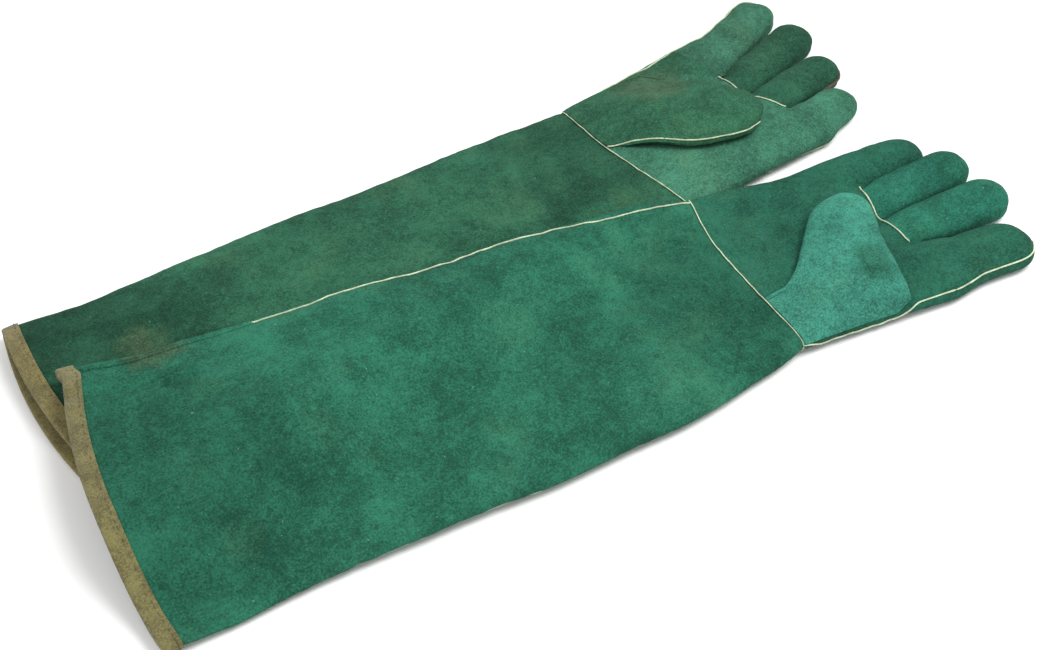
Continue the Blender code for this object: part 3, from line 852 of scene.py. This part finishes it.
def suede(name, colour, patches):
    """Split leather with a raised nap: cloudy dye, a mottled nap, pale specks and a velvet sheen.

    Each patch, a stain or painted shade, has its place, radius, colour and strength.
    """
    nodes = Nodes(name, roughness=0.96, sheen=SUEDE_SHEEN)
    nodes.put(nodes.shader, "Sheen Tint", SHEEN_TINT)
    clouds = nodes.noise(0.075, 3.0)
    brushed = nodes.noise(0.022, 2.5, 0.5)
    nap = nodes.noise(0.0045, 3.0, 0.6)
    grain = nodes.noise(0.0012, 2.0, 0.6)
    depth = nodes.math("MULTIPLY", clouds, 0.38)
    for value, share in ((brushed, 0.26), (nap, 0.24), (grain, 0.5)):
        depth = nodes.math("ADD", depth, nodes.math("MULTIPLY", value, share))
    middle = 0.705
    tone = nodes.ramp(depth, middle - 0.18, middle + 0.18)
    dye = colour
    for centre, radius, spot, strength in patches:
        share = nodes.math("MULTIPLY", nodes.near(centre, radius), strength)
        dye = nodes.mix(share, dye, spot)
    yellow = (colour[0] * 1.9 + 0.012, colour[1] * 1.02, colour[2] * 0.78)
    yellowed = nodes.ramp(nodes.noise(0.042, 2.0), 0.48, 0.8)
    dye = nodes.mix(nodes.math("MULTIPLY", yellowed, 0.22), dye, yellow)
    base = nodes.scaled(dye, nodes.math("ADD", tone, 0.5))
    specks = nodes.ramp(nodes.noise(0.002, 1.0, 0.4), 0.78, 0.81)
    base = nodes.mix(nodes.math("MULTIPLY", specks, 0.55), base, PALE_SPECK)
    nodes.put(nodes.shader, "Base Color", base)
    relief = nodes.math("ADD", nodes.math("MULTIPLY", nap, 0.7), nodes.math("MULTIPLY", grain, 0.3))
    nodes.bump(relief, 0.0009, 0.75)
    return nodes.material


def tape(name, colour):
    """Woven cotton tape: fine crossing threads, a little faded in patches."""
    nodes = Nodes(name, roughness=0.92, sheen=0.2)
    weave = []
    for direction in ("X", "Y"):
        wave = nodes.add("ShaderNodeTexWave", Vector=nodes.place, Scale=330.0, Distortion=2.5)
        nodes.put(wave, "Detail Scale", 6.0)
        wave.bands_direction = direction
        weave.append(wave.outputs["Fac"])
    threads = nodes.math("MULTIPLY", nodes.math("ADD", weave[0], weave[1]), 0.5)
    faded = nodes.noise(0.014, 4.0, 0.65)
    fuzz = nodes.noise(0.0011, 2.0)
    tone = nodes.math("ADD", nodes.math("MULTIPLY", faded, 0.5), nodes.math("MULTIPLY", fuzz, 0.5))
    base = nodes.mix(nodes.ramp(tone, 0.38, 0.62), shade(colour, 0.6), shade(colour, 1.38))
    base = nodes.mix(nodes.math("MULTIPLY", threads, 0.35), base, shade(colour, 0.45))
    nodes.put(nodes.shader, "Base Color", base)
    nodes.bump(nodes.math("ADD", threads, fuzz), 0.0004, 0.6)
    return nodes.material


def thread(name, colour):
    """Pale cord or thread, dirtier in places."""
    nodes = Nodes(name, roughness=0.75, sheen=0.1)
    dirt = nodes.ramp(nodes.noise(0.009, 4.0), 0.35, 0.7)
    nodes.put(nodes.shader, "Base Color", nodes.mix(dirt, shade(colour, 0.6), colour))
    nodes.bump(nodes.noise(0.0008, 2.0), 0.0003, 0.5)
    return nodes.material


# ---- putting pieces in


def add_piece(obj, moves_with, material, node=None):
    """Finishes a piece.  It moves with a body given by name; given a bend, it is only baked in place."""
    obj.data.materials.append(material)
    if node:
        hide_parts(node)
    if isinstance(moves_with, str):
        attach(obj, moves_with)
    else:
        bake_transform(obj)


def add_welt(name, line, moves_with, looks, node=None, **shape):
    add_piece(tube(name, line, **shape), moves_with, looks["welt"], node)


def build_panels(glove, rows, kind, look, moves_with, pieces):
    """The front and the back shell of a part from its rows of split sections.  Gives their skins."""
    skins = []
    for k, (name, node) in enumerate(pieces):
        grid = glove.place(np.array([row[k] for row in rows]))
        skin = Skin(glove, grid, bool(k), kind)
        is_inner = kind == "thumb" and k == 1
        shell = leather_shell(f"{glove.side}_{name}", skin, THUMB_INNER_LEATHER if is_inner else LEATHER)
        add_piece(shell, moves_with, look, node and f"{glove.side}_{node}")
        skins.append(skin)
    return skins


def bend_between(glove, first, second, plan, direction, stretch):
    """Bodies and ends of the stretch that bends at a plan point of the glove, along a plan direction."""
    middle, way = (x * glove.along + y * glove.across for x, y in (plan, direction))
    ends = [glove.origin + middle + way * place for place in stretch]
    return f"{glove.side}_{first}", f"{glove.side}_{second}", *ends


def wrist_bend(glove):
    return bend_between(glove, "cuff", "hand", (0.0, 0.0), (1.0, 0.0), WRIST_STRETCH)


def ring_round(front, back, row):
    """Points and normals all the way round one row of a front and a back skin."""
    points = np.vstack([front.grid[row], back.grid[row][-2:0:-1]])
    return points, np.vstack([front.normals[row], back.normals[row][-2:0:-1]])


def seam_line(front, back, column, lift=0.0005):
    """The line of a seam between a front and a back skin, a little proud of them."""
    middle = 0.5 * (front.grid[:, column] + back.grid[:, column])
    out = unit(front.normals[:, column] + back.normals[:, column])
    return middle + out * lift


def build_cuff(glove, looks):
    side, roll = glove.side, glove.roll
    bend = wrist_bend(glove)
    rows = []
    for x in np.linspace(-CUFF_LENGTH, 0.0, CUFF_ROWS):
        top, bottom = cuff_section(side, x)
        dip = max(1.0 - ((x - CUFF_DIP_PLACE) / CUFF_DIP_REACH) ** 2, 0.0) ** 2
        little_roll = roll["cuff_little"] + roll["cuff_dip"] * dip
        rows.append(split_section(top, bottom, little_roll, roll["cuff_thumb"], CUFF_COLUMNS))
    pieces = (("cuff_front", "cuff_front_panel"), ("cuff_back", "cuff_back_panel"))
    skins = build_panels(glove, rows, "cuff", looks[f"{side}_cuff"], bend, pieces)
    build_binding(glove, skins, looks)
    first_row = int(math.ceil(BINDING_WIDTH / CUFF_STEP)) + 1
    plain_rows = int(CUFF_ROWS * FLANGE_SHARE)
    for name, column in (("little", 0), ("thumb", -1)):
        line = seam_line(*skins, column)
        start = first_row
        if (side, name) == ("right", "little"):
            start = plain_rows
            build_flange(glove, skins, first_row, plain_rows + FLANGE_OVERLAP, looks)
        add_welt(f"{side}_cuff_{name}_welt", line[start:], bend, looks, f"{side}_cuff_{name}_side_welt")


def build_flange(glove, skins, start, end, looks):
    """The stretch of the little finger side's seam where its two leather edges stand up with no welt."""
    across = unit(skins[0].grid[:, 1] - skins[0].grid[:, 0])
    for k, shift in enumerate((-FLANGE_GAP, FLANGE_GAP)):
        line = (seam_line(*skins, 0, 0.0003) + across * shift)[start:end]
        edge = tube(f"{glove.side}_cuff_seam_edge_{k + 1}", line, radius=FLANGE_RADIUS)
        add_piece(edge, f"{glove.side}_cuff", looks[f"{glove.side}_cuff"])


def build_binding(glove, skins, looks):
    """The tape folded round the mouth's edge, and the row of stitches that holds it."""
    side = glove.side
    last = int(round(BINDING_WIDTH / CUFF_STEP))
    rings, outs = zip(*(ring_round(*skins, k) for k in range(last + 1)))
    away = -glove.along * (TAPE + 0.0004)
    near, far, fold = 0.0002, TAPE_GAP + TAPE, 0.0004
    profile = [(last, near, 0.0)] + [(k, far, 0.0) for k in range(last, -1, -1)]
    profile += [(0, fold, 1.0), (0, -LEATHER - fold, 1.0)]
    profile += [(k, -LEATHER - far, 0.0) for k in range(last + 1)] + [(last, -LEATHER - near, 0.0)]
    rows = [rings[k] + outs[k] * out + away * share for k, out, share in profile]
    grid = np.array(rows)
    grid[..., 2] = np.maximum(grid[..., 2], 0.5 * FLOOR_Z)
    faces = grid_faces(len(rows), len(rings[0]), ring=True, loop=True)
    band = new_mesh(f"{side}_mouth_binding", grid.reshape(-1, 3), faces, 60.0)
    add_piece(band, f"{side}_cuff", looks[f"{side}_binding"], f"{side}_cuff_binding")
    k = last - 1
    line = rings[k] + outs[k] * (far + 0.0001)
    row = stitches(f"{side}_binding_stitches", line[:CUFF_COLUMNS], outs[k][:CUFF_COLUMNS])
    add_piece(row, f"{side}_cuff", looks["stitch"])


def build_hand(glove, looks):
    side, roll = glove.side, glove.roll
    bend = wrist_bend(glove)
    rows = []
    for along in np.linspace(0.0, 1.0, HAND_ROWS):
        top, bottom = hand_section(glove, along)
        thumb_roll = roll["wrist"] + (roll["index"] - roll["wrist"]) * rise_from(along, *INDEX_ROLL_START)
        under_thumb = rise_from(along, *UNDER_THUMB_START) * (1.0 - rise_from(along, *UNDER_THUMB_END))
        thumb_roll += (roll["under_thumb"] - thumb_roll) * under_thumb
        rows.append(split_section(top, bottom, roll["little"], thumb_roll, HAND_COLUMNS))
    pieces = (("palm", "palm_panel"), ("hand_back", "hand_back_panel"))
    skins = build_panels(glove, rows, "hand", looks[f"{side}_hand"], bend, pieces)
    for name, column in (("little", 0), ("thumb", -1)):
        line = seam_line(*skins, column)
        add_welt(f"{side}_hand_{name}_welt", line, bend, looks, f"{side}_hand_{name}_side_welt")
    ring, outs = ring_round(*skins, 0)
    ring = ring + outs * 0.0004
    ring[:, 2] = np.maximum(ring[:, 2], WELT_RADIUS * 1.25)
    shape = {"radius": WRIST_WELT_RADIUS, "loop": True}
    add_welt(f"{side}_wrist_seam_welt", ring, bend, looks, f"{side}_wrist_welt", **shape)
    palm_end, normals = skins[0].grid[-1], skins[0].normals[-1]
    local_y = (palm_end - glove.origin) @ glove.across
    inside = (local_y > glove.knuckles[1, 1] - 0.002) & (local_y < glove.knuckles[3, 1] + 0.001)
    line = palm_end[inside] + normals[inside] * 0.0006 + glove.along * 0.0006
    add_welt(f"{side}_knuckle_seam_welt", line, f"{side}_hand", looks, f"{side}_knuckle_welt")


def finger_stations(half, length):
    """Shares of a finger's length for its rows, closer together towards its tip."""
    straight = tip_start(half, length)
    body = np.linspace(0.0, straight, FINGER_ROWS - TIP_ROWS, endpoint=False)
    tip = np.sin(0.5 * math.pi * np.linspace(0.0, 1.0, TIP_ROWS))
    return np.concatenate([body, straight + (1.0 - straight) * tip])


def build_fingers(glove, looks):
    side = glove.side
    for name in FINGER_ORDER:
        half, length = FINGERS[side, name][:2]
        middle, _, _, direction = glove.finger_base(name)
        bend = bend_between(glove, "hand", f"{name}_finger", middle, direction, FINGER_STRETCH)
        little_roll = glove.roll["little"] if name == "little" else 0.0
        thumb_roll = glove.roll["index"] if name == "index" else 0.0
        rows = []
        for along in finger_stations(half, length):
            top, bottom = finger_section(glove, name, along)
            small = smoothstep(np.linalg.norm(top[0] - top[-1]) / half)
            rows.append(split_section(top, bottom, little_roll * small, thumb_roll * small, FINGER_COLUMNS))
        pieces = [(f"{name}_{panel}", f"{name}_finger_{panel}") for panel in ("front", "back")]
        skins = build_panels(glove, rows, "finger", looks[f"{side}_{name}"], bend, pieces)
        if name == "index":
            add_welt(f"{side}_index_welt", seam_line(*skins, -1), bend, looks, f"{side}_index_finger_welt")
        if (side, name) == ("left", "ring"):
            line = seam_line(*skins, 0, 0.0009)[FINGER_ROWS // 2 :]
            edge = tube("left_ring_lining_edge", line, radius=LINING_RADIUS)
            add_piece(edge, bend, looks["lining"])


def thumb_lines(glove):
    """Rows of dense plan points across the thumb, each with its share of the way from the base to the tip.

    The base's rows run from the seams to the fold line, and the flap's rows from there to the tip.
    """
    thumb = THUMBS[glove.side]
    free = smooth_line([thumb["wrist"], *thumb["free_edge"], thumb["tip"]], THUMB_EDGE_POINTS)
    far = smooth_line([thumb["crotch"], *thumb["far_edge"], thumb["tip"]], THUMB_EDGE_POINTS)
    v = 0.5 - 0.5 * places(TOP_SQUARENESS)[:, None]
    seam_y = np.linspace(thumb["wrist"][1], -WRIST_HALF_WIDTH + 0.0001, 20)
    seam = np.column_stack([0.0003 - wrist_bow(glove.side, seam_y / WRIST_HALF_WIDTH), seam_y])
    side_end = (thumb["crotch"][0] - 0.008, thumb["crotch"][1] - 0.0006)
    base_line = even_line(np.vstack([seam, side_end]), THUMB_BASE_POINTS)
    base = points_at(v[:, 0], np.linspace(0.0, 1.0, THUMB_BASE_POINTS), base_line)
    last = THUMB_EDGE_POINTS - 1
    fold_index = int(FOLD_SHARE * last)
    fold_line = free[fold_index] + (far[0] - free[fold_index]) * v
    base_rows, flap_rows = [], []
    for share in np.linspace(0.0, 1.0, THUMB_ROWS // 3):
        left = free[int(round(share * fold_index))]
        row = base + (fold_line - base) * share
        row += (left - row[0]) * (1.0 - v)
        base_rows.append((row, share * FOLD_SHARE))
    for share in np.sin(0.5 * math.pi * np.linspace(0.0, 1.0, THUMB_ROWS)):
        left = points_at(fold_index + share * (last - fold_index), np.arange(THUMB_EDGE_POINTS), free)
        right = points_at(share * last, np.arange(THUMB_EDGE_POINTS), far)
        flap_rows.append((left + (right - left) * v, FOLD_SHARE + share * (1.0 - FOLD_SHARE)))
    return base_rows, flap_rows


def thumb_section(glove, plan, share):
    """Top and bottom lines of the thumb over dense plan points, share from 0 at its base to 1 at its tip."""
    across = places(TOP_SQUARENESS)
    shape = arch(across, TOP_SQUARENESS)
    grown = smoothstep(share / FOLD_SHARE)
    full = smoothstep(share / 0.75)
    tip = np.clip((share - 0.72) / 0.28, 0.0, 1.0)
    rounded = math.sqrt(max(1.0 - tip**2.4, 0.0))
    palm = palm_height(glove, plan)
    edge = THUMB_LEAST + (THUMB_EDGE_Z - THUMB_LEAST) * grown
    under = 0.0001 + (THUMB_UNDER_Z - 0.0001) * grown
    rise = (THUMB_THICKNESS - THUMB_EDGE_Z) * (0.45 * grown + 0.55 * full) * rounded
    merged = THUMBS[glove.side]["merge"] * (1.0 - rise_from(share, 0.38, 0.3))
    kept = 1.0 - merged * smoothstep((0.3 - across) / 1.3)
    top = np.column_stack([plan, palm + (edge + rise * shape) * kept + THUMB_LEAST])
    bottom = np.column_stack([plan, palm + (edge - (edge - under) * shape * max(rounded, 0.05)) * kept])
    return top, bottom[::-1]


def build_thumb(glove, looks):
    side = glove.side
    thumb = THUMBS[side]
    base_rows, flap_rows = thumb_lines(glove)
    fold_middle = flap_rows[0][0].mean(axis=0)
    fold = unit(flap_rows[0][0][-1] - flap_rows[0][0][0])
    over_palm = np.array([-fold[1], fold[0]])
    unfold = bend_between(glove, "hand", "thumb", fold_middle, over_palm, THUMB_STRETCH)
    parts = (
        ("thumb_base", base_rows, (None, None, None), wrist_bend(glove)),
        ("thumb", flap_rows, ("thumb_back_panel", "thumb_front_panel", f"{side}_thumb_welt"), unfold),
    )
    for part, rows, (outer, inner, welt), bend in parts:
        halves = []
        for plan, share in rows:
            top, bottom = thumb_section(glove, plan, share)
            small = smoothstep(np.linalg.norm(plan[0] - plan[-1]) / 0.03)
            started = 1.0 if thumb["roll"] < 0.0 else smoothstep(2.0 * share / FOLD_SHARE)
            free_roll = thumb["roll"] * small * started
            halves.append(split_section(top, bottom, free_roll, THUMB_FAR_ROLL * small, THUMB_COLUMNS))
        pieces = ((f"{part}_outer", outer), (f"{part}_inner", inner))
        skins = build_panels(glove, halves, "thumb", looks[f"{side}_thumb"], bend, pieces)
        add_welt(f"{side}_{part}_welt", seam_line(*skins, 0, 0.0002), bend, looks, welt)


def build_looks():
    """The materials of all the pieces, by their part."""
    on_left, on_right = GLOVES["left"].place, GLOVES["right"].place
    right_cuff, left_cuff = DYES["right_cuff"], DYES["left_cuff"]
    thumb_spot = (on_left((0.06, -0.042, 0.022)), 0.036, BROWN_STAIN, 0.35)
    patches = {
        "right_cuff": (
            # Painted shade: the right cuff darkened round its mouth and near its wrist
            (on_right((-0.39, -0.02, 0.01)), 0.12, shade(right_cuff, 0.76), 1.0),
            (on_right((-0.02, -0.01, 0.015)), 0.09, shade(right_cuff, 0.72), 1.0),
            (on_right((-0.35, 0.083, 0.012)), 0.023, TAN_STAIN, 0.6),
        ),
        "right_thumb": ((on_right((0.067, -0.04, 0.026)), 0.02, DYES["right_hand"], 0.75),),
        "left_cuff": (
            # Painted shade: the left cuff darkened round its mouth and near its wrist
            (on_left((-0.39, -0.06, 0.012)), 0.11, shade(left_cuff, 0.66), 1.0),
            (on_left((-0.03, -0.01, 0.015)), 0.08, shade(left_cuff, 0.74), 1.0),
            (on_right((-0.354, 0.106, 0.006)), 0.024, TAN_STAIN, 0.55),
        ),
        "left_hand": ((on_left((0.06, -0.085, 0.015)), 0.085, DYES["left_thumb"], 1.0), thumb_spot),
        "left_thumb": (thumb_spot,),
    }
    looks = {part: suede(f"{part}_suede", dye, patches.get(part, ())) for part, dye in DYES.items()}
    looks["left_binding"] = tape("left_binding_tape", LEFT_BINDING)
    looks["right_binding"] = tape("right_binding_tape", RIGHT_BINDING)
    looks["welt"] = thread("cream_welt", CREAM)
    looks["lining"] = thread("brown_lining", LINING_BROWN)
    looks["stitch"] = thread("olive_stitch", STITCH_OLIVE)
    return looks


# ---- floor, light and camera


def build_stage():
    mesh = bpy.data.meshes.new("floor")
    size = FLOOR_HALF_SIZE
    corners = [(-size, -size, 0), (size, -size, 0), (size, size, 0), (-size, size, 0)]
    mesh.from_pydata(corners, [], [(0, 1, 2, 3)])
    floor = bpy.data.objects.new("floor", mesh)
    floor.location.z = -FLOOR_DROP
    bpy.context.scene.collection.objects.link(floor)
    white = bpy.data.materials.new("floor_white")
    white.use_nodes = True
    shader = white.node_tree.nodes["Principled BSDF"]
    shader.inputs["Base Color"].default_value = FLOOR_WHITE
    shader.inputs["Roughness"].default_value = 0.9
    mesh.materials.append(white)


def aim(data, place, target=(0.0, 0.0, 0.0)):
    """Puts a lamp or the camera at a place, looking at a target."""
    obj = bpy.data.objects.new(data.name, data)
    obj.location = place
    obj.rotation_mode = "QUATERNION"
    obj.rotation_quaternion = (Vector(target) - obj.location).to_track_quat("-Z", "Y")
    bpy.context.scene.collection.objects.link(obj)
    return obj


def add_lamp(name, place, size, power):
    data = bpy.data.lights.new(name, "AREA")
    data.shape = "DISK"
    data.size = size
    data.energy = power
    aim(data, place)


def build_light():
    scene = bpy.context.scene
    scene.view_settings.view_transform = "Standard"
    world = bpy.data.worlds.new("studio")
    world.use_nodes = True
    background = world.node_tree.nodes["Background"]
    background.inputs["Color"].default_value = (1.0, 1.0, 1.0, 1.0)
    background.inputs["Strength"].default_value = WORLD_STRENGTH
    scene.world = world
    add_lamp("key", KEY_PLACE, KEY_SIZE, KEY_POWER)
    add_lamp("fill", FILL_PLACE, FILL_SIZE, FILL_POWER)


def build_camera():
    data = bpy.data.cameras.new("camera")
    data.lens = LENS
    data.sensor_width = SENSOR_WIDTH
    bpy.context.scene.camera = aim(data, CAMERA_PLACE, CAMERA_TARGET)


build_camera()
build_stage()
build_light()
LOOKS = build_looks()
for each_glove in GLOVES.values():
    build_cuff(each_glove, LOOKS)
    build_hand(each_glove, LOOKS)
    build_fingers(each_glove, LOOKS)
    build_thumb(each_glove, LOOKS)
